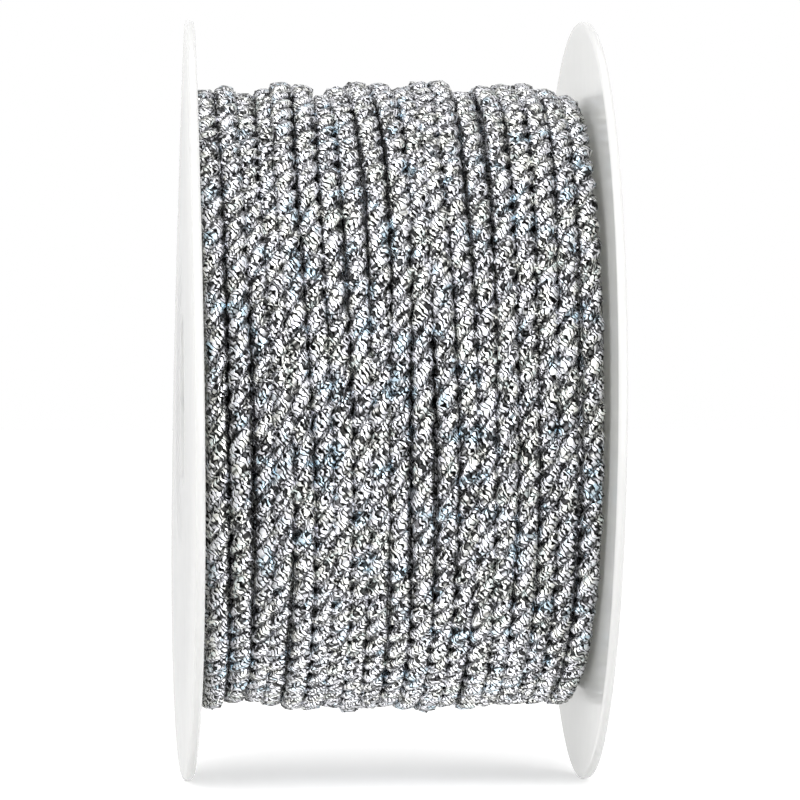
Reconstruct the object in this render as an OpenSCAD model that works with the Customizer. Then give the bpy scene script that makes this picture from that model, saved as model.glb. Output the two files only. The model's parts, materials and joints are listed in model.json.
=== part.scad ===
// Cord spool: a moulded two-flange reel on a core tube, full of twisted metallic cord.
// The reel's axis lies along X, +Z is up, and the origin is the centre of the reel on its axis.

/* [Flanges] */
// Outside diameter of each flange
flange_d = 75; // [70:1:110]
// Thickness of each flange disc
flange_t = 0.9; // [0.7:0.1:2]
// Radius that rounds both edges of a flange's rim
rim_round = 0.3; // [0.1:0.05:0.3]
// Clear width between the two flanges at their hubs
inner_w = 38.8; // [24:0.2:60]
// Depth of the round recess on each outer face
recess_deep = 0.3; // [0.1:0.05:0.4]
// Width of the face ring between the bore and the edge of that recess
recess_w = 6.5; // [4:0.5:12]

/* [Hub] */
// Diameter of the spindle bore
spindle_d = 16; // [10:0.5:17]
// Wall of the collar round the spindle bore
collar_wall = 1.2; // [0.8:0.1:1.6]
// Length of that collar, measured in from the flange's inner face
collar_l = 9; // [6:0.5:12]
// Chamfer at the mouth of the spindle bore
bore_chamfer = 0.6; // [0.2:0.1:0.6]
// Number of snap fingers on each hub
fingers = 6; // [4:1:8]
// Length of each snap finger
finger_l = 6.5; // [5:0.5:9]
// Thickness of each snap finger
finger_t = 1.1; // [0.8:0.1:1.4]
// Gap between neighbouring fingers, which also lets the cord's start through
finger_gap = 4.2; // [3.6:0.2:5]
// Height of the barb on each finger
barb_h = 0.3; // [0.2:0.05:0.4]
// Length of that barb along the reel's axis
barb_l = 1.4; // [1:0.1:2]
// Distance from the barb to the finger's tip
barb_back = 0.6; // [0.4:0.1:1]
// Thickness of the ribs between the collar and the fingers
rib_t = 0.9; // [0.6:0.1:1.4]
// Height of those ribs, measured in from the flange's inner face
rib_h = 4.5; // [3:0.5:5]

/* [Core tube] */
// Outside diameter of the core tube
core_d = 31; // [30:0.5:40]
// Wall of the core tube
core_wall = 1.5; // [1.2:0.1:2.5]
// Clearance all round between the snap fingers and the core tube
snap_gap = 0.05; // [0.02:0.01:0.1]

/* [Cord] */
// Diameter of the cord as it lies wound
cord_d = 1.85; // [1.5:0.05:2.2]
// Radial clearance between one layer of cord and the next
layer_gap = 0.05; // [0.02:0.01:0.1]
// Least clearance between one turn and the next
turn_gap = 0.02; // [0.01:0.01:0.1]
// Clearance between the cord and a flange, in which the thin discs may flex
side_gap = 0.35; // [0.02:0.01:0.5]
// Radius of the bend where the cord's start comes through the core tube
start_bend = 3.8; // [3.5:0.1:5]
// Straight length of cord inside the core tube
start_tail = 5; // [2:0.5:8]
// Clearance round the cord in the slot through the core tube
slot_gap = 0.4; // [0.2:0.05:0.6]
// How far round its last turn the cord runs before it is cut, in degrees
end_angle = 112; // [40:1:170]

/* [Hidden] */
$fn = 96;
LAYERS = 8;

PLASTIC = "whitesmoke";
CORD = "silver";
CORD_INSIDE = "gray";
OVERCUT = 0.5;
JOIN_SKIN = 0.01;
JOIN_L = 0.3;

core_r = core_d / 2;
core_inner_r = core_r - core_wall;
finger_r = core_inner_r - snap_gap;
bore_r = spindle_d / 2;
collar_r = bore_r + collar_wall;
barb_z = finger_l - barb_back - barb_l;
rib_from = (bore_r + collar_r) / 2;
rib_to = finger_r - finger_t / 2;

// The cord fills each layer from flange to flange. Its first and last turns are spaced wider, because the
// half turn that climbs to the next layer leans over its neighbour there: at the worst place it has used up
// a quarter of the pitch and has risen half a layer, and 2 / sqrt(3) of a layer then keeps the two apart.
layer_step = cord_d + layer_gap;
travel = inner_w - cord_d - 2 * side_gap;
edge_pitch = 2 / sqrt(3) * layer_step;
middle_halves = floor(2 * (travel - 2 * edge_pitch) / (cord_d + turn_gap));
pitch = 2 * (travel - 2 * edge_pitch) / middle_halves;
halves = middle_halves + 4;

// Radius of the cord's centre line in layer k, counted from 1 at the core tube
function layer_r(k) = core_r + layer_step * (k - 0.5) + layer_gap / 2;

// Way along the reel's axis that the cord has made after h half turns of a layer
function gained(h) =
    (min(h, 2) + max(h - halves + 2, 0)) * edge_pitch / 2 + max(min(h - 2, middle_halves), 0) * pitch / 2;

// Place of the cord on the axis after h half turns of layer k: odd layers run to the left, even ones back
function place(k, h) = (k % 2 == 1 ? 1 : -1) * (travel / 2 - gained(h));

// The cord makes halves + 1 half turns in each layer, with the climb, and each half turn starts opposite
// the last.
function side(k, h) = 180 * (((k - 1) * (halves + 1) + h) % 2);

// Stands a piece that was drawn round Z on the reel's axis.
module on_axis() {
    rotate([0, 90, 0])
        children();
}

// Half a turn of cord that starts at radius r1, height z1 and ends opposite, at r2, z2. It is half a torus
// in a tilted plane, so each end face is square to the next half turn and the cord runs on smoothly.
module half_turn(r1, z1, r2, z2, angle = 180) {
    translate([(r1 - r2) / 2, 0, (z1 + z2) / 2])
        rotate([0, atan2(z2 - z1, r1 + r2), 0])
            rotate_extrude(angle = angle)
                translate([norm([r1 + r2, z2 - z1]) / 2, 0])
                    circle(d = cord_d);
}

// A hair-thin band round the cord at radius r, height z, which joins two half turns into one clean solid
module join(r, z) {
    translate([r, 0, z])
        rotate([90, 0, 0])
            cylinder(d = cord_d + 2 * JOIN_SKIN, h = JOIN_L, center = true);
}

// Half turns 0 to last of layer k, without the climb
module turns(k, last) {
    for (h = [0 : last])
        rotate([0, 0, side(k, h)]) {
            half_turn(layer_r(k), place(k, h), layer_r(k), place(k, h + 1));
            if (h > 0)
                join(layer_r(k), place(k, h));
        }
}

// The half turn at a flange that lifts the cord from layer k to the next
module climb(k) {
    rotate([0, 0, side(k, halves)]) {
        half_turn(layer_r(k), place(k, halves), layer_r(k + 1), place(k, halves));
        join(layer_r(k), place(k, halves));
    }
}

module cord_layer(k) {
    color(k == LAYERS ? CORD : CORD_INSIDE)
        on_axis() {
            turns(k, k == LAYERS ? halves - 2 : halves - 1);
            if (k < LAYERS)
                climb(k);
        }
}

// The cord's start lies in the core tube, bends through the slot in its wall and meets the first turn.
module start_path(d) {
    translate([layer_r(1) - start_bend, 0, place(1, 0)]) {
        rotate([0, 0, -90])
            rotate_extrude(angle = 90)
                translate([start_bend, 0])
                    circle(d = d);
        translate([0, -start_bend, 0])
            rotate([0, -90, 0])
                cylinder(d = d, h = start_tail);
    }
}

module cord_start() {
    color(CORD_INSIDE)
        on_axis()
            start_path(cord_d);
}

// The last half turn stops short at the back, where the cord is cut.
module cord_end() {
    r = layer_r(LAYERS);
    color(CORD)
        on_axis()
            rotate([0, 0, side(LAYERS, halves - 1)])
                half_turn(r, place(LAYERS, halves - 1), r, place(LAYERS, halves), end_angle);
}

// Section of a flange's disc, with the inner face at 0 and both edges of the rim rounded
module disc_section() {
    difference() {
        union() {
            translate([bore_r, -flange_t])
                square([flange_d / 2 - rim_round - bore_r, flange_t]);
            translate([bore_r, rim_round - flange_t])
                square([flange_d / 2 - bore_r, flange_t - 2 * rim_round]);
            for (y = [rim_round - flange_t, -rim_round])
                translate([flange_d / 2 - rim_round, y])
                    circle(r = rim_round);
        }
        translate([0, -flange_t - OVERCUT])
            square([bore_r + recess_w, OVERCUT + recess_deep]);
    }
}

// Section of the collar, with a chamfer where the spindle enters
module collar_section() {
    polygon([
        [bore_r + bore_chamfer, recess_deep - flange_t],
        [collar_r, recess_deep - flange_t],
        [collar_r, collar_l],
        [bore_r + bore_chamfer / 2, collar_l],
        [bore_r, collar_l - bore_chamfer / 2],
        [bore_r, recess_deep - flange_t + bore_chamfer]
    ]);
}

// Section of a snap finger: a thin wall with a barb near its tip
module finger_section() {
    polygon([
        [finger_r - finger_t, -flange_t / 2],
        [finger_r, -flange_t / 2],
        [finger_r, barb_z],
        [finger_r + barb_h, barb_z + barb_h],
        [finger_r + barb_h, barb_z + barb_l / 2],
        [finger_r, barb_z + barb_l],
        [finger_r - barb_h, finger_l],
        [finger_r - finger_t, finger_l]
    ]);
}

// One flange as moulded, drawn round Z with its hub towards +Z
module flange() {
    color(PLASTIC)
        difference() {
            union() {
                rotate_extrude()
                    disc_section();
                rotate_extrude()
                    collar_section();
                difference() {
                    rotate_extrude()
                        finger_section();
                    for (i = [0 : fingers - 1])
                        rotate([0, 0, i * 360 / fingers])
                            translate([0, -finger_gap / 2, 0])
                                cube([core_r, finger_gap, finger_l + OVERCUT]);
                }
                for (i = [0 : fingers - 1])
                    rotate([0, 0, (i + 0.5) * 360 / fingers])
                        translate([rib_from, -rib_t / 2, -flange_t / 2])
                            cube([rib_to - rib_from, rib_t, rib_h + flange_t / 2]);
            }
            translate([0, 0, recess_deep - flange_t])
                cylinder(r1 = bore_r + bore_chamfer, r2 = bore_r, h = bore_chamfer);
        }
}

module flange_left() {
    translate([-inner_w / 2, 0, 0])
        on_axis()
            flange();
}

module flange_right() {
    mirror([1, 0, 0])
        flange_left();
}

// Groove inside one end of the core tube that the barbs snap into
module snap_groove() {
    translate([0, 0, barb_z - snap_gap])
        cylinder(r = core_inner_r + barb_h, h = barb_l + 2 * snap_gap);
}

module core_tube() {
    color(PLASTIC)
        on_axis()
            difference() {
                cylinder(r = core_r, h = inner_w, center = true);
                cylinder(r = core_inner_r, h = inner_w + 2 * OVERCUT, center = true);
                for (end = [0, 1])
                    mirror([0, 0, end])
                        translate([0, 0, -inner_w / 2])
                            snap_groove();
                start_path(cord_d + 2 * slot_gap);
            }
}

flange_left();
flange_right();
core_tube();
cord_start();
cord_layer(1);  // cord_layer_1
cord_layer(2);  // cord_layer_2
cord_layer(3);  // cord_layer_3
cord_layer(4);  // cord_layer_4
cord_layer(5);  // cord_layer_5
cord_layer(6);  // cord_layer_6
cord_layer(7);  // cord_layer_7
cord_layer(8);  // cord_layer_8
cord_end();
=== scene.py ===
"""Looks of a cord spool: two thin moulded flanges and eight layers of twisted metallic cord on a core tube.

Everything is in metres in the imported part's frame. The reel's axis is X, +Z is up and the origin is the
reel's centre. The cord is followed by one number, the half turns that it has made since it left the core.
Lengths that are easier to read in millimetres are written as a number times MM.
"""
import json
import math

import bpy
import numpy as np
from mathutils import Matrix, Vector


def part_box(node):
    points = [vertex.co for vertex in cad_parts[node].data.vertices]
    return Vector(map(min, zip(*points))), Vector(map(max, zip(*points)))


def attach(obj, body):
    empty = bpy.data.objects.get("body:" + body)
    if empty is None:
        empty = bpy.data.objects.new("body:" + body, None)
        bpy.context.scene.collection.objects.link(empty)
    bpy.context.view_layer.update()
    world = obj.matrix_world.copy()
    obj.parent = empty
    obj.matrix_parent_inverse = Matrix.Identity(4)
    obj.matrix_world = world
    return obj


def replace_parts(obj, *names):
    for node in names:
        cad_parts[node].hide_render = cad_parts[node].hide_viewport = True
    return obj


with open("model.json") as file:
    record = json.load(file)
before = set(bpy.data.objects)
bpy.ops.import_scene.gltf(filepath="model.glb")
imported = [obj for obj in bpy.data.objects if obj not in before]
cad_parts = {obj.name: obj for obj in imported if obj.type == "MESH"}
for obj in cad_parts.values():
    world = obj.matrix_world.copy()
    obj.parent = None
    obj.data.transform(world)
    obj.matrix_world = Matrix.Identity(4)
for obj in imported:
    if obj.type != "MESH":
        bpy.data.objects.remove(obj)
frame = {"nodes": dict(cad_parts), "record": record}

MM = 0.001
scene = bpy.context.scene
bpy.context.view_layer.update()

# ---------------------------------------------------------------------------------------------------------
# Sizes of the reel, read from the frame
# ---------------------------------------------------------------------------------------------------------
flange_low, flange_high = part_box("flange_left")
_, tube_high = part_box("core_tube")
RIM_R = flange_high.z
INNER_HALF = tube_high.x
FLANGE_T = -INNER_HALF - flange_low.x
CORE_R = tube_high.z
COLLAR_L = flange_high.x + INNER_HALF
BORE_R = frame["record"]["mounts"][0]["dims"]["r_mm"] * MM

# ---------------------------------------------------------------------------------------------------------
# How the thin discs lean in over the cord, towards the reel's middle at their rims
# ---------------------------------------------------------------------------------------------------------
LEFT, RIGHT = -1, 1
DISH = {LEFT: 0.42 * MM, RIGHT: 0.17 * MM}     # lean of the whole rim
TILT = {LEFT: 0.13 * MM, RIGHT: 0.07 * MM}     # more of it at the top than at the bottom
TWIST = {LEFT: 0.31 * MM, RIGHT: 0.11 * MM}    # more of it at the top's back and the bottom's front


def lean(side, radius, angle):
    """How far a disc leans in at a radius and an angle: it grows with the square of the radius."""
    back, up = np.sin(angle), -np.cos(angle)
    return (radius / RIM_R) ** 2 * (DISH[side] + TILT[side] * up + TWIST[side] * 2 * back * up)


def place(x, radius, angle):
    """Points at x, y = radius sin angle, z = -radius cos angle, as rows."""
    return np.stack([x, radius * np.sin(angle), -radius * np.cos(angle)], 1)


# ---------------------------------------------------------------------------------------------------------
# The cord's way round the reel
# ---------------------------------------------------------------------------------------------------------
CORD_D = 1.85 * MM             # thickness of the cord as it lies wound
LAYER_GAP = 0.05 * MM          # clearance between one layer and the next
TURN_GAP = 0.02 * MM           # least clearance between one turn and the next
SIDE_GAP = 0.35 * MM           # clearance between the cord and a disc that lies flat
LAYERS = 8
EDGE_HALVES = 2                # half turns at each end of a layer that are spaced wider, for the climb
END_SHARE = 112 / 180          # share of its last half turn that the cord makes before its cut end
START_BEND = 3.8 * MM          # radius of the bend in which the cord comes out through the core tube
START_TAIL = 2.5 * MM          # straight length of cord inside the core tube, clear of the flange's collar

LAYER_STEP = CORD_D + LAYER_GAP
TRAVEL = 2 * INNER_HALF - CORD_D - 2 * SIDE_GAP     # way of the cord's centre from flange to flange
EDGE_PITCH = 2 / math.sqrt(3) * LAYER_STEP          # way in one turn, at the ends of a layer
MIDDLE_HALVES = math.floor(2 * (TRAVEL - 2 * EDGE_PITCH) / (CORD_D + TURN_GAP))
PITCH = 2 * (TRAVEL - 2 * EDGE_PITCH) / MIDDLE_HALVES
HALVES = MIDDLE_HALVES + 2 * EDGE_HALVES
LAYER_TURNS = HALVES + 1                            # half turns of one layer with its climb
OUTER_START = (LAYERS - 1) * LAYER_TURNS
OUTER_END = OUTER_START + HALVES - 1 + END_SHARE


def gained(halves):
    """Way along the axis after so many half turns of a layer: wide ones, middle ones, wide ones again."""
    edges = np.clip(halves, 0, EDGE_HALVES) + np.clip(halves - HALVES + EDGE_HALVES, 0, EDGE_HALVES)
    return edges * EDGE_PITCH / 2 + np.clip(halves - EDGE_HALVES, 0, MIDDLE_HALVES) * PITCH / 2


def neat_line(turned):
    """Place of the cord's centre after so many half turns, wound neatly: its x, its radius and its angle.

    Inside each half turn x and radius ease from start to end by (1 - cos(angle)) / 2, as a tilted half ring
    does. The angle grows by pi in each half turn and is 0 at the bottom of the reel, pi / 2 at the back.
    """
    layer = np.floor(turned / LAYER_TURNS)
    halves = turned - layer * LAYER_TURNS
    whole = np.floor(halves)
    eased = (1 - np.cos(math.pi * (halves - whole))) / 2
    way = gained(whole) + (gained(whole + 1) - gained(whole)) * eased
    direction = np.where(layer % 2 == 0, 1, -1)
    climbed = np.where(halves > HALVES, eased, 0)
    radius = CORE_R + LAYER_STEP * (layer + 0.5 + climbed) + LAYER_GAP / 2
    return direction * (TRAVEL / 2 - way), radius, math.pi * turned


FIRST_R = CORE_R + LAYER_STEP / 2 + LAYER_GAP / 2          # radius of the first turn's centre
TURN_LENGTH = math.pi * (CORE_R + LAYERS * LAYER_STEP)     # half a turn round the outside of the cord
START = -(START_TAIL + math.pi / 2 * START_BEND) / TURN_LENGTH


def start_line(turned):
    """Place of the cord's centre before its first turn, as x, radius and angle, where turned is below 0.

    The length back from the first turn is way = -turned * TURN_LENGTH. Over it the cord bends through the
    angle b = way / START_BEND, at most pi / 2, to FIRST_R - START_BEND (1 - cos b) below the axis and
    START_BEND sin b to the front. From there it runs straight up.
    """
    way = np.maximum(-turned, 0) * TURN_LENGTH
    bent = np.minimum(way / START_BEND, math.pi / 2)
    below = FIRST_R - START_BEND * (1 - np.cos(bent)) - (way - bent * START_BEND)
    front = START_BEND * np.sin(bent)
    x, radius, angle = neat_line(np.maximum(turned, 0))
    radius = np.where(turned < 0, np.hypot(below, front), radius)
    angle = np.where(turned < 0, -np.arctan2(front, below), angle)
    return x, radius, angle


# ---------------------------------------------------------------------------------------------------------
# The hand-wound unevenness of the outer layer
# ---------------------------------------------------------------------------------------------------------
LAY_SEED = 7
WANDER = 0.20 * MM             # sideways wander of neighbouring turns together
OWN_WANDER = 0.13 * MM         # sideways wander of each turn by itself
LIFT = 0.24 * MM               # rise and fall of neighbouring turns together
OWN_LIFT = 0.16 * MM           # rise and fall of each turn by itself
FADE = 8                       # power of x with which the sideways wander dies out towards the flanges
PUSH = 1.87 * MM               # how far the last turns are pushed over to the right flange
PUSH_FROM = -5.0 * MM          # place on the axis from which that push grows
PUSH_ANGLE = math.radians(210)      # where round the reel it is largest, between the top and the front
# Places where turns stand proud or lie low: x in mm, angle in degrees, half sizes of both, lift in mm
PROUD = (
    (-14.4, 180, 1.6, 40, -0.15), (-9.6, 180, 1.6, 35, 0.45), (-6.3, 180, 1.5, 35, -0.3),
    (3.5, 182, 2.6, 45, 0.85), (10.8, 178, 2.4, 45, 0.85), (16.0, 180, 1.6, 40, -0.2),
    (-15.0, 0, 4.0, 40, -0.6), (1.0, 0, 6.0, 40, 0.1), (15.5, 0, 4.5, 40, -0.75),
    (-17.4, 180, 1.5, 40, 0.4), (4.0, 0, 1.8, 30, -0.45),
)


def waves(rng, count, most_round, most_across):
    """A smooth field over the winding, as a function of x and angle, of mean 0 and height about 1.

    It adds up cosines of n * angle + k * x + phase, with n a whole number, so that the field closes round
    the reel, and with at most most_across waves in its width.
    """
    round_waves = rng.integers(-most_round, most_round + 1, count)
    x_waves = rng.uniform(-most_across, most_across, count) * math.pi / INNER_HALF
    phases = rng.uniform(0, 2 * math.pi, count)
    scale = math.sqrt(2 / count)

    def field(x, angle):
        total = np.zeros(np.shape(x))
        for n, k, phase in zip(round_waves, x_waves, phases):
            total = total + np.cos(n * angle + k * x + phase)
        return total * scale
    return field


def ripples(rng, count, shortest, longest):
    """A smooth wander along the cord, of mean 0 and height about 1, as a function of half turns made.

    It adds up cosines whose waves are between shortest and longest half turns long.
    """
    rates = 2 * math.pi / rng.uniform(shortest, longest, count)
    phases = rng.uniform(0, 2 * math.pi, count)
    scale = math.sqrt(2 / count)

    def wander(turned):
        total = np.zeros(np.shape(turned))
        for rate, phase in zip(rates, phases):
            total = total + np.cos(rate * turned + phase)
        return total * scale
    return wander


lay = np.random.default_rng(LAY_SEED)
wander_field = waves(lay, count=14, most_round=3, most_across=5)
lift_field = waves(lay, count=14, most_round=3, most_across=7)
own_wander = ripples(lay, count=10, shortest=0.35, longest=1.6)
own_lift = ripples(lay, count=10, shortest=0.5, longest=2.2)
twist_drift = ripples(lay, count=10, shortest=0.7, longest=7.0)


def outer_line(turned):
    """Place of the cord's centre in the outer layer, as x, radius and angle.

    The neat line is moved sideways by the wander and outwards by the lift. Both grow from nothing in the
    first half turn of the layer, and the wander also dies out at the flanges. A proud place lifts the cord
    by rise * exp(-fall), where fall adds the squares of both ways from it in half sizes. The push grows
    evenly with x, and round the reel it is the share (1 + cos(angle - PUSH_ANGLE)) / 2 of that.
    """
    x, radius, angle = neat_line(turned)
    inside = np.clip(1 - np.abs(x / (TRAVEL / 2)) ** FADE, 0, 1)
    started = np.clip(turned - OUTER_START, 0, 1)
    sideways = WANDER * wander_field(x, angle) + OWN_WANDER * own_wander(turned)
    lift = LIFT * lift_field(x, angle) + OWN_LIFT * own_lift(turned)
    for at_x, at_angle, reach_x, reach_angle, rise in PROUD:
        off_angle = (angle - math.radians(at_angle) + math.pi) % (2 * math.pi) - math.pi
        fall = ((x - at_x * MM) / (reach_x * MM)) ** 2 + (off_angle / math.radians(reach_angle)) ** 2
        lift = lift + rise * MM * np.exp(-fall)
    share = np.clip((x - PUSH_FROM) / (TRAVEL / 2 - PUSH_FROM), 0, 1)
    pushed = PUSH * share * (1 + np.cos(angle - PUSH_ANGLE)) / 2
    x = np.clip(x + sideways * inside * started + pushed, -TRAVEL / 2, TRAVEL / 2)
    return x, radius + lift * started, angle


def path(line, turned):
    """Points of a line at the given half turns, with outward and sideways directions and the length so far.

    The outward direction is square to the line, and the sideways one to both. The line keeps half the
    cord's width away from the discs, which lean in.
    """
    x, radius, angle = line(turned)
    room = INNER_HALF - SPREAD * CORD_D / 2
    x = np.clip(x, lean(LEFT, radius, angle) - room, room - lean(RIGHT, radius, angle))
    points = place(x, radius, angle)
    tangents = np.gradient(points, turned, axis=0)
    length = np.concatenate([[0], np.cumsum(np.linalg.norm(np.diff(points, axis=0), axis=1))])
    tangents /= np.linalg.norm(tangents, axis=1)[:, None]
    outward = place(np.zeros(len(x)), 1, angle)
    outward -= tangents * np.sum(outward * tangents, 1)[:, None]
    outward /= np.linalg.norm(outward, axis=1)[:, None]
    side = np.cross(tangents, outward)
    return points, outward, side, length


# ---------------------------------------------------------------------------------------------------------
# Meshes
# ---------------------------------------------------------------------------------------------------------
TUBE_SIDES = 8                 # points round a plain round cord


def put_mesh(name, points, faces, material, uv=None, sharp=None):
    """One mesh object at the origin from points and a list of face arrays, each with its own corner count.

    uv gives each point its place on the Yarn map, and sharp is the angle in degrees from which an edge
    stays sharp.
    """
    mesh = bpy.data.meshes.new(name)
    corners = np.concatenate([f.ravel() for f in faces]).astype(np.int32)
    sizes = np.concatenate([np.full(len(f), f.shape[1]) for f in faces])
    starts = np.concatenate([[0], np.cumsum(sizes)[:-1]]).astype(np.int32)
    mesh.vertices.add(len(points))
    mesh.vertices.foreach_set("co", np.ascontiguousarray(points, np.float32).ravel())
    mesh.loops.add(len(corners))
    mesh.loops.foreach_set("vertex_index", corners)
    mesh.polygons.add(len(sizes))
    mesh.polygons.foreach_set("loop_start", starts)
    mesh.update(calc_edges=True)
    mesh.polygons.foreach_set("use_smooth", np.ones(len(sizes), bool))
    if uv is not None:
        layer = mesh.uv_layers.new(name="Yarn")
        layer.data.foreach_set("uv", np.ascontiguousarray(uv[corners], np.float32).ravel())
    if sharp is not None:
        mesh.set_sharp_from_angle(angle=math.radians(sharp))
    mesh.materials.append(material)
    piece = bpy.data.objects.new(name, mesh)
    scene.collection.objects.link(piece)
    return piece


def grid_faces(rows, columns, close_rows=False):
    """Quads of a grid of points, numbered row by row. Each row closes on itself, and the rows may too."""
    r = np.arange(rows if close_rows else rows - 1)[:, None]
    c = np.arange(columns)[None, :]
    r2, c2 = (r + 1) % rows, (c + 1) % columns
    quads = np.stack([r * columns + c, r * columns + c2, r2 * columns + c2, r2 * columns + c], -1)
    return quads.reshape(-1, 4)


def end_caps(rings, around):
    """The two faces that close a grid's first and last ring, each of so many points."""
    return np.stack([np.arange(around)[::-1], np.arange(around) + (rings - 1) * around])


def cord_piece(name, points, faces, uv, material):
    """One mesh object of cord, riding on the reel."""
    piece = put_mesh(name, points, faces, material, uv)
    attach(piece, "root")
    return piece


def round_cord(name, line, start, end, rings_per_half, radius, material):
    """One piece of plain round cord: rings square to a line, each closed on itself, with a cap at each end.

    A point of a ring at the angle a lies at the radius times (outward cos a + side sin a) from the line.
    """
    rings = int((end - start) * rings_per_half) + 1
    points, outward, side, length = path(line, np.linspace(start, end, rings))
    around = np.linspace(0, 2 * math.pi, TUBE_SIDES, endpoint=False)
    ring = outward[:, None] * np.cos(around)[None, :, None] + side[:, None] * np.sin(around)[None, :, None]
    points = (points[:, None] + radius * ring).reshape(-1, 3)
    uv = np.stack(np.broadcast_arrays(length[:, None] / MM, around[None] / (2 * math.pi)), -1)
    faces = [grid_faces(rings, TUBE_SIDES), end_caps(rings, TUBE_SIDES)]
    return cord_piece(name, points, faces, uv.reshape(-1, 2), material)


# ---------------------------------------------------------------------------------------------------------
# The moulded flanges
# ---------------------------------------------------------------------------------------------------------
RIM_ROUND = 0.40 * MM          # distance from an edge of the rim at which its rounding starts
EDGE_ROUND = 0.15 * MM         # the same for the other edges of the disc and its collar
RECESS_DEEP = 0.3 * MM         # the round recess on the outer face: its depth and its radius
RECESS_R = 14.5 * MM
RECESS_SLOPE = 1.8 * MM        # width of the slope from its floor up to the face
BORE_CHAMFER = 0.6 * MM        # bevel at the outer end of the bore, and half of it at the collar's end
COLLAR_WALL = 1.2 * MM         # wall of the collar round the bore
FINGERS = 6                    # snap fingers that hold the flange in the core tube
FINGER_R = 13.95 * MM          # outer radius, thickness, length and gap of the fingers
FINGER_T = 1.1 * MM
FINGER_L = 6.5 * MM
FINGER_GAP = 4.2 * MM
BARB_H = 0.3 * MM              # height and length of a finger's barb, and its distance from the end
BARB_L = 1.4 * MM
BARB_BACK = 0.6 * MM
RIB_T, RIB_H = 0.9 * MM, 4.5 * MM   # thickness and height of the ribs from the collar to the fingers
ROOT = 0.06 * MM               # how deep the fingers and ribs are rooted in the disc
ROUND_COUNT = 256              # points round a flange
FINGER_STEPS, RIB_STEPS = 12, 3     # sections of a finger along its arc, and of a rib through its thickness
DISC_CURVE, SMALL_CURVE = 6, 3      # points of a rounded corner on the disc, and on fingers and ribs
CLOSE = 0.1 * MM               # distance from a corner to the next point on a straight line
SHORTEST = 4 * CLOSE           # length from which a straight line gets points between its ends
LONGEST = 2.5 * MM             # longest distance between two points on a straight line
SHARP_FROM = 40                # angle in degrees from which an edge of the moulding stays sharp


def outline(corners, rounds, steps):
    """A closed outline of straight lines with rounded corners, as rows of two numbers.

    A corner c with the ends a and b of its rounding, at its own distance on both lines, becomes the curve
    (1 - t)^2 a + 2 t (1 - t) c + t^2 b. A line between two corners gets a point close to each end, so that
    its face stays flat up to there, and more points where it is long.
    """
    corners, rounds = np.array(corners), np.array(rounds)[:, None]
    back, ahead = np.roll(corners, 1, 0) - corners, np.roll(corners, -1, 0) - corners
    a = corners + rounds * back / np.linalg.norm(back, axis=1)[:, None]
    b = corners + rounds * ahead / np.linalg.norm(ahead, axis=1)[:, None]
    t = np.linspace(0, 1, steps)[:, None]
    rows = []
    for corner, start, end, after in zip(corners, a, b, np.roll(a, -1, 0)):
        rows.append((1 - t) ** 2 * start + 2 * t * (1 - t) * corner + t ** 2 * end)
        length = np.linalg.norm(after - end)
        if length > SHORTEST:
            inner = np.linspace(0, length, math.ceil(length / LONGEST) + 1)[1:-1]
            places = np.concatenate([[CLOSE], inner, [length - CLOSE]])[:, None] / length
            rows.append(end + places * (after - end))
    return np.concatenate(rows)


def disc_outline():
    """Half section of the disc: floor of the recess, outer face, rim, inner face, collar and bore."""
    floor, collar_r = RECESS_DEEP - FLANGE_T, BORE_R + COLLAR_WALL
    corners = [
        (floor, BORE_R + BORE_CHAMFER), (floor, RECESS_R - RECESS_SLOPE), (-FLANGE_T, RECESS_R),
        (-FLANGE_T, RIM_R), (0, RIM_R), (0, collar_r), (COLLAR_L, collar_r),
        (COLLAR_L, BORE_R + BORE_CHAMFER / 2), (COLLAR_L - BORE_CHAMFER / 2, BORE_R),
        (floor + BORE_CHAMFER, BORE_R),
    ]
    rounds = [EDGE_ROUND] + [RECESS_SLOPE / 3] * 2 + [RIM_ROUND] * 2 + [EDGE_ROUND] * 5
    return outline(corners, rounds, DISC_CURVE)


def finger_outline():
    """Section of a snap finger: a plate, and on its outside a barb that rises, runs level and falls."""
    barb = FINGER_L - BARB_BACK - BARB_L
    corners = [
        (-ROOT, FINGER_R - FINGER_T), (-ROOT, FINGER_R), (barb, FINGER_R),
        (barb + BARB_H, FINGER_R + BARB_H), (barb + BARB_L / 2, FINGER_R + BARB_H),
        (barb + BARB_L, FINGER_R), (FINGER_L, FINGER_R - BARB_H), (FINGER_L, FINGER_R - FINGER_T),
    ]
    return outline(corners, [ROOT / 2] * len(corners), SMALL_CURVE)


def rib_outline():
    """Section of a rib, which reaches into the wall of the collar and into a finger."""
    inner, outer = BORE_R + COLLAR_WALL / 2, FINGER_R - FINGER_T / 2
    corners = [(-ROOT, inner), (-ROOT, outer), (RIB_H, outer), (RIB_H, inner)]
    return outline(corners, [ROOT / 2] * len(corners), SMALL_CURVE)


def wedge(section, first, first_off, last, last_off, steps):
    """A solid swept from one plane through the axis to another, each moved aside by its own distance.

    A point of the section at the radius r goes from the angle first + asin(first_off / r) to the angle
    last + asin(last_off / r). Both ends are closed by the flat section.
    """
    x, r = section[:, 0][None], section[:, 1][None]
    v = np.linspace(0, 1, steps)[:, None]
    angle = (1 - v) * (first + np.arcsin(first_off / r)) + v * (last + np.arcsin(last_off / r))
    faces = [grid_faces(steps, len(section)), end_caps(steps, len(section))[:, ::-1]]
    return np.broadcast_to(x, angle.shape), np.broadcast_to(r, angle.shape), angle, faces


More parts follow.
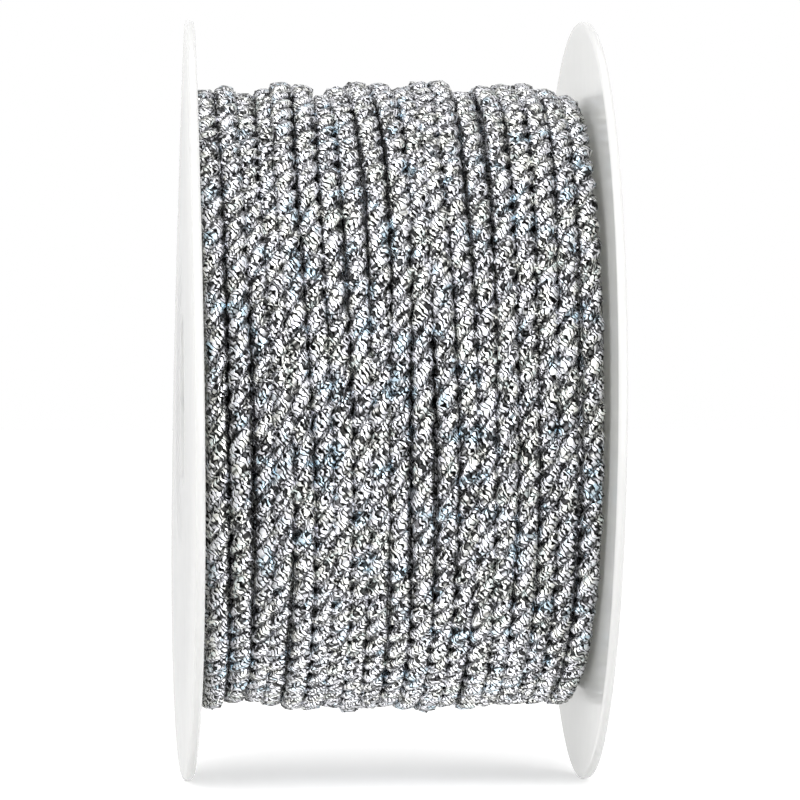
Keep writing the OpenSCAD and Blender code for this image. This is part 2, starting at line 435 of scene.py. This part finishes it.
def flange(name, side, material):
    """One moulded flange: a disc with its collar in one turned outline, snap fingers and ribs.

    Sections are rows of (way in from the disc's inner face, radius). A point at the way in w, the radius r
    and the angle a lies at x = side * (INNER_HALF - w - lean(r, a)), y = r sin a, z = -r cos a.
    """
    disc, finger, rib = disc_outline(), finger_outline(), rib_outline()
    around = np.linspace(0, 2 * math.pi, ROUND_COUNT, endpoint=False)[None]
    turned = grid_faces(len(disc), ROUND_COUNT, close_rows=True)[:, ::-1]
    solids = [(*np.broadcast_arrays(disc[:, :1], disc[:, 1:], around), [turned])]
    apart = 2 * math.pi / FINGERS
    for i in range(FINGERS):
        first, middle, last = i * apart, (i + 0.5) * apart, (i + 1) * apart
        solids.append(wedge(finger, first, FINGER_GAP / 2, last, -FINGER_GAP / 2, FINGER_STEPS))
        solids.append(wedge(rib, middle, -RIB_T / 2, middle, RIB_T / 2, RIB_STEPS))
    points, faces, count = [], [], 0
    for way, radius, angle, parts in solids:
        way, radius, angle = way.ravel(), radius.ravel(), angle.ravel()
        points.append(place(side * (INNER_HALF - way - lean(side, radius, angle)), radius, angle))
        faces += [(part if side == RIGHT else part[:, ::-1]) + count for part in parts]
        count += len(way)
    piece = put_mesh(name, np.concatenate(points), faces, material, sharp=SHARP_FROM)
    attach(piece, "root")
    return piece


# ---------------------------------------------------------------------------------------------------------
# The plies of the cord
# ---------------------------------------------------------------------------------------------------------
PLY_SEED = 11
PLIES = 2                      # plies twisted together
LAY_LENGTH = 5.3 * MM          # length of cord in which a ply goes once round it
PLY_WIDE = 0.92 * MM           # half width of a ply across its own direction
PLY_THICK = 0.52 * MM          # half thickness of a ply, towards the cord's middle
SPREAD = 1.14                  # how much wider than high the cord lies, pressed between its neighbours
SQUARE = 3.2                   # power of the pressed cord's section, a rounded square: 2 gives a circle
RING_STEP = 0.40 * MM          # distance from one ring of points on a ply to the next
FACE_POINTS, BACK_POINTS = 8, 3     # points of a ring on the outer and the inner side of a ply
TWIST_DRIFT = 1.8              # how far the twist runs ahead or lags, in radians
STRAY = 0.05 * MM              # how far a ply strays across its own direction
ROUGH = 0.072 * MM             # unevenness of a ply's surface
BULGE = 0.14                   # share by which a ply swells and thins on its way
EVENED = 5                     # neighbouring rings over which stray and bulge are evened out
BODY_R = 0.62 * MM             # radius of the heart of the cord under its plies
OVERRUN = 0.02                 # half turns by which a ply's line is followed past both of its ends
LINE_POINTS = 160              # points in a half turn of that line, and how many more the whole line gets
LINE_MORE = 60
MAP_APART = 1000               # distance between the cord's plies on the Yarn map, in millimetres


def evened(rng, rings):
    """A column of one random number a ring, evened out over neighbours, of mean 0 and height 1."""
    window = np.ones(EVENED) / math.sqrt(EVENED)
    return np.convolve(rng.normal(0, 1, rings + EVENED - 1), window, "valid")[:, None]


def ply(line, start, end, number, rng):
    """One ply of the twisted cord between two places on its line: points, faces and uv.

    The ply's middle goes round the line at a distance of CORD_D / 2 - PLY_THICK, once each LAY_LENGTH. At
    the angle b its section is PLY_WIDE * cos(b) across the ply and PLY_THICK * sin(b) outwards. The whole
    is then pressed to a rounded square: a point at the angle c from outwards moves to its distance times
    (|cos c|^SQUARE + |sin c|^SQUARE)^(-1 / SQUARE), and then sideways to SPREAD times its way. The uv runs
    in millimetres along the ply, and 0 to 1 round it.
    """
    fine = np.linspace(start - OVERRUN, end + OVERRUN, int((end - start) * LINE_POINTS) + LINE_MORE)
    points, outward, side, length = path(line, fine)
    first, last = np.interp([start, end], fine, length)
    rings = int((last - first) / RING_STEP) + 1
    s = np.linspace(first, last, rings)
    turned = np.interp(s, length, fine)
    ring_r = CORD_D / 2 - PLY_THICK
    phase = 2 * math.pi * (turned * TURN_LENGTH / LAY_LENGTH + number / PLIES)
    phase = phase + TWIST_DRIFT * twist_drift(turned)
    b = np.concatenate([
        np.linspace(0, math.pi, FACE_POINTS),
        np.linspace(math.pi, 2 * math.pi, BACK_POINTS + 2)[1:-1],
    ])[None, :]
    around = b.shape[1]
    swell = 1 + BULGE * evened(rng, rings)
    stray = STRAY * evened(rng, rings)
    rough = rng.normal(0, ROUGH, (rings, around))
    across = PLY_WIDE * swell * np.cos(b) + stray
    out = ring_r + (PLY_THICK + rough) * np.sin(b)
    # a way across the ply leads partly round the cord and partly back along it
    tilt = math.atan(math.pi * CORD_D / LAY_LENGTH)
    psi = phase[:, None] + across * math.cos(tilt) / (CORD_D / 2)
    along = (s[:, None] - across * math.sin(tilt)).ravel()
    middle, outward, side = (
        np.stack([np.interp(along, length, rows[:, i]) for i in range(3)], 1)
        for rows in (points, outward, side)
    )
    rho, psi = out.ravel()[:, None], psi.ravel()[:, None]
    rho = rho * (np.abs(np.cos(psi)) ** SQUARE + np.abs(np.sin(psi)) ** SQUARE) ** (-1 / SQUARE)
    ply_points = middle + rho * (np.cos(psi) * outward + SPREAD * np.sin(psi) * side)
    run = (s - first)[:, None] / math.cos(tilt) / MM + MAP_APART * number + 0 * b
    uv = np.stack([run, b / (2 * math.pi) + 0 * run], -1).reshape(-1, 2)
    return ply_points, [grid_faces(rings, around)[:, ::-1], end_caps(rings, around)[:, ::-1]], uv


def twisted(name, line, start, end, material, rng):
    """One piece of twisted cord: its plies, joined into one mesh."""
    made = [ply(line, start, end, number, rng) for number in range(PLIES)]
    counts = np.cumsum([0] + [len(points) for points, _, _ in made])
    faces = [part + count for (_, parts, _), count in zip(made, counts) for part in parts]
    points = np.concatenate([points for points, _, _ in made])
    uv = np.concatenate([part for _, _, part in made])
    return cord_piece(name, points, faces, uv, material)


# ---------------------------------------------------------------------------------------------------------
# Materials
# ---------------------------------------------------------------------------------------------------------
# Painted reflections: tones of the foil from its darkest to its lightest glints, standing in for what
# mirror foil reflects: share of all glints, linear grey
PAINTED_GLINT_TONES = ((0.32, 0.04), (0.39, 0.28), (0.445, 0.74), (0.51, 0.95), (0.60, 1.0))
# Slight tints of the foil, along its mix of two noises: place on the mix, colour
TINTS = (
    (0.20, (0.68, 0.87, 1.0)), (0.34, (0.90, 0.95, 1.0)), (0.46, (0.95, 0.94, 1.0)),
    (0.58, (0.95, 0.97, 1.0)), (0.72, (1.0, 0.99, 0.94)), (0.86, (0.88, 0.97, 0.96)),
)
STRIP_TINT, PATCH_TINT = 0.5, 0.55  # weights of a strip's own noise and of the slow drift in that mix
PATCH_SCALE = 420.0            # waves of that drift in a metre
SWAY = 0.7                     # how far strips sway along a ply, in millimetres
SWAY_RATE = 1.4                # waves of that sway in a millimetre
STRIP_APART = 7.3              # distance between neighbouring strips in the noise that sets their tone
GAP_NOISE = (0.35, 0.65)       # values of the noise that give the thinnest and the widest gap
GAP_THIN, GAP_WIDE = 0.13, 0.40     # half width of the gap between two strips, a groove darkened with painted shade, in strips
GAP_FULL_SHADE = 0.35                # share of that half width that has the full painted shade
PAINTED_EDGE_SHADE = 0.11               # share of the way round a ply in which strips get painted shade, darker towards its edge
FOIL_ROUGH = (0.12, 0.3)       # least roughness of the foil, and what the noise adds to it
TONE_RELIEF = 1.2              # height of the lightest strip over the darkest, when a gap is 1 deep
FOIL_RELIEF = 0.06 * MM        # depth of a gap
CLOUD_SCALE = 45.0             # waves of the plastic's flow clouds in a metre
CLOUD_DARK = 0.965             # share of the plastic's colour that the darkest clouds have
CLOUD_RELIEF = 0.02 * MM       # waviness of the plastic's surface, which follows the clouds
SCUFF_SCALE = 260.0            # waves of the plastic's scuffs in a metre
SCUFF_ROUGH = 0.05             # span of roughness over the scuffs
MILKY_DEPTH = 3.0 * MM         # how deep light goes into the milky plastic


def new_group(name, inputs, outputs):
    """A shader node group with the given sockets: (name, type) or (name, type, default) each."""
    group = bpy.data.node_groups.new(name, "ShaderNodeTree")
    for socket in inputs:
        made = group.interface.new_socket(socket[0], in_out="INPUT", socket_type=socket[1])
        if len(socket) > 2:
            made.default_value = socket[2]
    for socket in outputs:
        group.interface.new_socket(socket[0], in_out="OUTPUT", socket_type=socket[1])
    return group


class Nodes:
    """Short ways to add nodes to one tree and join them."""

    def __init__(self, tree):
        self.tree = tree

    def fill(self, node, inputs):
        """Give a node its inputs: a socket is joined to its input, and any other value is set."""
        for key, value in inputs.items():
            if isinstance(value, bpy.types.NodeSocket):
                self.tree.links.new(value, node.inputs[key])
            else:
                node.inputs[key].default_value = value
        return node

    def add(self, kind, inputs=None, **settings):
        """A new node with its settings and inputs."""
        node = self.tree.nodes.new(kind)
        for key, value in settings.items():
            setattr(node, key, value)
        return self.fill(node, inputs or {})

    def math(self, operation, *values):
        """The result of one sum on one to three values."""
        return self.add("ShaderNodeMath", dict(enumerate(values)), operation=operation).outputs[0]

    def pair(self, x, y):
        """A vector of two values."""
        return self.add("ShaderNodeCombineXYZ", {0: x, 1: y}).outputs[0]

    def noise(self, vector, scale, detail, dimensions="3D"):
        """The outputs of a noise: its value and its colour."""
        inputs = {"Vector": vector, "Scale": scale, "Detail": detail}
        return self.add("ShaderNodeTexNoise", inputs, noise_dimensions=dimensions).outputs

    def span(self, value, *limits, interpolation="LINEAR"):
        """A value led from one span to another, given as the limits of both, and kept inside it."""
        inputs = dict(enumerate((value, *limits)))
        return self.add("ShaderNodeMapRange", inputs, interpolation_type=interpolation).outputs[0]

    def multiply(self, a, b):
        """Two colours multiplied."""
        inputs = {0: 1.0, 6: a, 7: b}
        return self.add("ShaderNodeMix", inputs, data_type="RGBA", blend_type="MULTIPLY").outputs[2]

    def ramp(self, value, stops):
        """A value turned into a colour by a ramp, whose stops are rows of place and grey or colour."""
        node = self.add("ShaderNodeValToRGB", {0: value})
        while len(node.color_ramp.elements) < len(stops):
            node.color_ramp.elements.new(1.0)
        for element, (stop, colour) in zip(node.color_ramp.elements, stops):
            element.position = stop
            element.color = (*colour, 1) if isinstance(colour, tuple) else (colour, colour, colour, 1)
        return node.outputs[0]

    def bump(self, height, strength, distance):
        """The normal of a surface that is raised by a height."""
        inputs = {"Height": height, "Strength": strength, "Distance": distance}
        return self.add("ShaderNodeBump", inputs).outputs[0]


def foil_group():
    """Strips of metallised foil that cross a ply side by side, with painted shade in the gaps between them
    and towards a ply's edges.

    The yarn's map runs in millimetres along a ply and 0..1 round it. Strips of the width Strip lean by
    Lean, the millimetres that they move along the ply in one way round it, and a noise makes them sway. A
    second noise, new for each strip and with Glints waves round the ply, gives the tone, a painted
    reflection that stands in for the light and dark glints that mirror foil takes from its surroundings,
    and its other colours give the width of the gap, the gloss and a part of the tint. Patch, a slow drift
    from place to place, gives the rest of the tint.
    """
    inputs = [
        ("Yarn map", "NodeSocketVector"), ("Patch", "NodeSocketFloat", 0.5),
        ("Strip", "NodeSocketFloat", 0.3), ("Lean", "NodeSocketFloat", 1.0),
        ("Glints", "NodeSocketFloat", 3.0),
    ]
    outputs = [
        ("Color", "NodeSocketColor"), ("Roughness", "NodeSocketFloat"), ("Height", "NodeSocketFloat"),
    ]
    group = new_group("foil_strips", inputs, outputs)
    n = Nodes(group)
    given = n.add("NodeGroupInput").outputs
    yarn = n.add("ShaderNodeSeparateXYZ", {0: given["Yarn map"]}).outputs
    glints = n.math("MULTIPLY", yarn["Y"], given["Glints"])
    sway = n.noise(n.pair(n.math("MULTIPLY", yarn["X"], SWAY_RATE), glints), 1.0, 1.0, "2D")
    leaned = n.math("MULTIPLY_ADD", yarn["Y"], given["Lean"], yarn["X"])
    swayed = n.math("MULTIPLY_ADD", n.math("SUBTRACT", sway["Fac"], 0.5), SWAY, leaned)
    across = n.math("DIVIDE", swayed, given["Strip"])
    strip = n.math("MULTIPLY", n.math("FLOOR", across), STRIP_APART)
    noise = n.noise(n.pair(glints, strip), 1.0, 1.0, "2D")
    other = n.add("ShaderNodeSeparateColor", {0: noise["Color"]}).outputs
    # painted shade: the gap between two strips is a groove, and its darkening in colour is painted shade
    width = n.span(other[1], *GAP_NOISE, GAP_THIN, GAP_WIDE)
    full_shade_width = n.math("MULTIPLY", width, GAP_FULL_SHADE)
    line = n.span(n.math("PINGPONG", across, 0.5), full_shade_width, width, 0.0, 1.0, interpolation="SMOOTHSTEP")
    # the outer half of a ply goes from 0 to 0.5 round it, with its middle at 0.25
    # painted shade: strips darken towards both edges of the ply's outer half, where it turns away between
    # the plies
    edge = n.span(n.math("PINGPONG", yarn["Y"], 0.25), 0.0, PAINTED_EDGE_SHADE, 0.0, 1.0)
    # painted shade of the gaps and of the ply's edges together
    dark = n.math("MULTIPLY", line, edge)
    patch = n.math("MULTIPLY", given["Patch"], PATCH_TINT)
    tint = n.ramp(n.math("MULTIPLY_ADD", other[2], STRIP_TINT, patch), TINTS)
    # the strip's tone, a painted reflection, times the painted shade, times the tint
    colour = n.multiply(n.multiply(n.ramp(noise["Fac"], PAINTED_GLINT_TONES), dark), tint)
    rough_least, rough_more = FOIL_ROUGH
    n.add("NodeGroupOutput", {
        "Color": colour,
        "Roughness": n.math("MULTIPLY_ADD", other[2], rough_more, rough_least),
        "Height": n.math("MULTIPLY_ADD", noise["Fac"], TONE_RELIEF, line),
    })
    return group


def new_material(name):
    """An empty node material, its node helper, and its Principled BSDF, which is joined to the output."""
    material = bpy.data.materials.new(name)
    material.use_nodes = True
    material.node_tree.nodes.clear()
    n = Nodes(material.node_tree)
    shader = n.add("ShaderNodeBsdfPrincipled")
    n.add("ShaderNodeOutputMaterial", {"Surface": shader.outputs[0]})
    return material, n, shader


def foil_material(group, name, strip, slant, glints, bump):
    """Metallised yarn, whose strips follow its Yarn map."""
    material, n, shader = new_material(name)
    spot = n.add("ShaderNodeTexCoord").outputs["Object"]
    foil = n.add("ShaderNodeGroup", {
        "Yarn map": n.add("ShaderNodeUVMap", uv_map="Yarn").outputs[0],
        "Patch": n.span(n.noise(spot, PATCH_SCALE, 1.0)["Fac"], 0.3, 0.7),
        "Strip": strip,
        "Lean": slant,
        "Glints": glints,
    }, node_tree=group).outputs
    n.fill(shader, {
        "Base Color": foil["Color"],
        "Roughness": foil["Roughness"],
        "Normal": n.bump(foil["Height"], bump, FOIL_RELIEF),
        "Metallic": 0.95,
        "Sheen Weight": 0.1,
        "Sheen Roughness": 0.45,
    })
    return material


def plastic_material(name, colour, roughness):
    """Moulded white plastic: faint flow clouds in its colour, fine scuffs in its gloss, slight waviness."""
    material, n, shader = new_material(name)
    spot = n.add("ShaderNodeTexCoord").outputs["Object"]
    clouds = n.noise(spot, CLOUD_SCALE, 1.0)["Fac"]
    scuffs = n.noise(spot, SCUFF_SCALE, 5.0)["Fac"]
    n.fill(shader, {
        "Base Color": n.ramp(clouds, ((0.3, tuple(CLOUD_DARK * c for c in colour)), (0.7, colour))),
        "Roughness": n.math("MULTIPLY_ADD", scuffs, SCUFF_ROUGH, roughness - SCUFF_ROUGH / 2),
        "Normal": n.bump(clouds, 0.3, CLOUD_RELIEF),
        "IOR": 1.5,
        "Subsurface Weight": 1.0,
        "Subsurface Radius": (1.0, 1.0, 0.95),
        "Subsurface Scale": MILKY_DEPTH,
    })
    return material


foil_strips = foil_group()
ply_foil = foil_material(foil_strips, "twisted_foil_plies", strip=0.38, slant=-0.7, glints=9.0, bump=0.7)
heart_foil = foil_material(foil_strips, "cord_heart", strip=0.5, slant=2.0, glints=3.0, bump=0.4)
under_foil = foil_material(foil_strips, "under_layer_foil", strip=0.6, slant=2.4, glints=12.0, bump=0.6)
flange_plastic = plastic_material("moulded_flange_plastic", (0.745, 0.745, 0.728), 0.2)
core_plastic = plastic_material("core_tube_plastic", (0.80, 0.80, 0.78), 0.5)

# ---------------------------------------------------------------------------------------------------------
# Camera and light
# ---------------------------------------------------------------------------------------------------------
PICTURE_WIDTH = 800            # width of the picture and focal length of the lens, in pixels
FOCAL_PX = 5318.2
CAMERA_AT = (-35.18 * MM, -525.9 * MM, 0.0)
CAMERA_YAW = math.radians(4.0)      # how far it is turned from the reel's front towards +X
WORLD_LIGHT, WORLD_WHITE = 0.65, 1.0     # strength of the surroundings as light, and as seen or mirrored

# Lamps: name, place, point that they face, width and height, power in watts
SOFTBOXES = (
    ("top_softbox", (-0.12, -0.37, 0.46), (0, 0, 0), (0.45, 0.45), 1.7),
    ("left_softbox", (-0.5, -0.5, 0.15), (0, 0, 0), (0.4, 0.4), 0.6),
    ("right_softbox", (0.35, -0.5, 0.1), (0, 0, 0), (0.3, 0.3), 0.6),
)
# Lamps that only show where something mirrors them
GLINT_SOFTBOXES = (
    ("low_softbox", (0.03, -0.17, -0.03), (0.01, -0.03, -0.015), (0.12, 0.12), 0.14),
    ("over_softbox", (0, 0.1, 0.45), (0, 0, 0), (0.4, 0.4), 0.72),
    ("under_softbox", (0, -0.04, flange_low.z + 0.5 * MM), (0, -0.039, 1), (0.034, 0.08), 0.0075),
)

camera_data = bpy.data.cameras.new("camera")
camera_data.sensor_width = 36.0
camera_data.lens = camera_data.sensor_width * FOCAL_PX / PICTURE_WIDTH
camera_data.clip_start = 0.01
camera_data.clip_end = 20.0
camera = bpy.data.objects.new("camera", camera_data)
camera.location = CAMERA_AT
camera.rotation_euler = (math.pi / 2, 0, -CAMERA_YAW)
scene.collection.objects.link(camera)
scene.camera = camera


def softbox(name, at, aim, size, power):
    """A rectangular area lamp at a place, turned to a point."""
    data = bpy.data.lights.new(name, "AREA")
    data.shape = "RECTANGLE"
    data.size, data.size_y = size
    data.energy = power
    made = bpy.data.objects.new(name, data)
    made.location = at
    direction = np.array(aim, float) - np.array(at, float)
    made.rotation_euler = Vector(direction).to_track_quat("-Z", "Y").to_euler()
    scene.collection.objects.link(made)
    return made


for row in SOFTBOXES:
    softbox(*row)
for row in GLINT_SOFTBOXES:
    glint_softbox = softbox(*row)
    glint_softbox.visible_camera = False
    glint_softbox.visible_diffuse = False

world = bpy.data.worlds.new("studio")
scene.world = world
world.use_nodes = True
world.node_tree.nodes.clear()
w = Nodes(world.node_tree)
rays = w.add("ShaderNodeLightPath").outputs
mirrored = w.math("MAXIMUM", rays["Is Glossy Ray"], rays["Is Transmission Ray"])
seen = w.math("MAXIMUM", rays["Is Camera Ray"], mirrored)
strength = w.span(seen, 0.0, 1.0, WORLD_LIGHT, WORLD_WHITE)
background = w.add("ShaderNodeBackground", {"Color": (1, 1, 1, 1), "Strength": strength})
w.add("ShaderNodeOutputWorld", {0: background.outputs[0]})

# ---------------------------------------------------------------------------------------------------------
# Floor and card
# ---------------------------------------------------------------------------------------------------------
FLOOR_HALF = 6.0               # half width of the floor
FLOOR_GREY = (0.92, 0.92, 0.92, 1)
FLOOR_GLOW = 0.45              # light that the floor gives off towards the camera
FLOOR_MIRRORED = 0.98          # brightness of the floor where something mirrors it
CARD_GREY = (0.02, 0.02, 0.02, 1)
CARD_LEFT, CARD_RIGHT, CARD_TOP, CARD_Y = -0.5, 0.3, 0.16, -0.75

floor_material, f, floor_shader = new_material("studio_floor")
f.fill(floor_shader, {"Base Color": FLOOR_GREY, "Roughness": 0.9})
rays = f.add("ShaderNodeLightPath").outputs
glow = f.add("ShaderNodeEmission", {"Strength": f.math("MULTIPLY", rays["Is Camera Ray"], FLOOR_GLOW)})
lit = f.add("ShaderNodeAddShader", {0: floor_shader.outputs[0], 1: glow.outputs[0]})
mirrored = f.math("MAXIMUM", rays["Is Glossy Ray"], rays["Is Transmission Ray"])
white = f.add("ShaderNodeEmission", {"Strength": FLOOR_MIRRORED})
either = f.add("ShaderNodeMixShader", {0: mirrored, 1: lit.outputs[0], 2: white.outputs[0]})
f.fill(floor_material.node_tree.nodes["Material Output"], {"Surface": either.outputs[0]})

floor_points = np.array([[-1, -1, 0], [1, -1, 0], [1, 1, 0], [-1, 1, 0]]) * FLOOR_HALF
floor_points[:, 2] = flange_low.z
one_face = [np.array([[0, 1, 2, 3]])]
floor = put_mesh("studio_floor", floor_points, one_face, floor_material)

# a dark card behind the camera, which the foil mirrors where it faces the camera
card_material, c, card_shader = new_material("dark_card")
c.fill(card_shader, {"Base Color": CARD_GREY})
card_points = np.array([
    [CARD_LEFT, CARD_Y, flange_low.z], [CARD_RIGHT, CARD_Y, flange_low.z],
    [CARD_RIGHT, CARD_Y, CARD_TOP], [CARD_LEFT, CARD_Y, CARD_TOP],
])
card = put_mesh("dark_card", card_points, one_face, card_material)
card.visible_camera = False
card.visible_diffuse = False
card.visible_shadow = False

# ---------------------------------------------------------------------------------------------------------
# Pieces
# ---------------------------------------------------------------------------------------------------------
PIECE_HALVES = 5               # half turns in one piece of the outer layer
BELOW_HALVES = 4               # half turns of the layer below that show beside the right flange
HEART_RINGS, UNDER_RINGS = 48, 40   # rings in a half turn of the heart, and of a layer below

twist = np.random.default_rng(PLY_SEED)
outer_from = OUTER_START - 1   # the twisted cord begins with the climb from the layer below
outer_pieces = []
for number, start in enumerate(np.arange(outer_from, OUTER_END, PIECE_HALVES), 1):
    end = min(start + PIECE_HALVES, OUTER_END)
    outer_pieces.append(twisted(f"twisted_turns_{number}", outer_line, start, end, ply_foil, twist))
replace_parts(outer_pieces[0], "cord_layer_8")
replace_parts(outer_pieces[-1], "cord_end")

below_from = OUTER_START - LAYER_TURNS
twisted("twisted_turns_below", neat_line, below_from, below_from + BELOW_HALVES, ply_foil, twist)
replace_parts(twisted("twisted_start", start_line, START, 0, ply_foil, twist), "cord_start")
round_cord("cord_heart", outer_line, outer_from, OUTER_END, HEART_RINGS, BODY_R, heart_foil)

for layer in range(1, LAYERS):
    start = (layer - 1) * LAYER_TURNS
    end = min(start + LAYER_TURNS, outer_from)
    piece = round_cord(f"under_layer_{layer}", neat_line, start, end, UNDER_RINGS, CORD_D / 2, under_foil)
    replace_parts(piece, f"cord_layer_{layer}")

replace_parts(flange("left_flange", LEFT, flange_plastic), "flange_left")
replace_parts(flange("right_flange", RIGHT, flange_plastic), "flange_right")
frame["nodes"]["core_tube"].data.materials.clear()
frame["nodes"]["core_tube"].data.materials.append(core_plastic)

scene.view_settings.view_transform = "Standard"
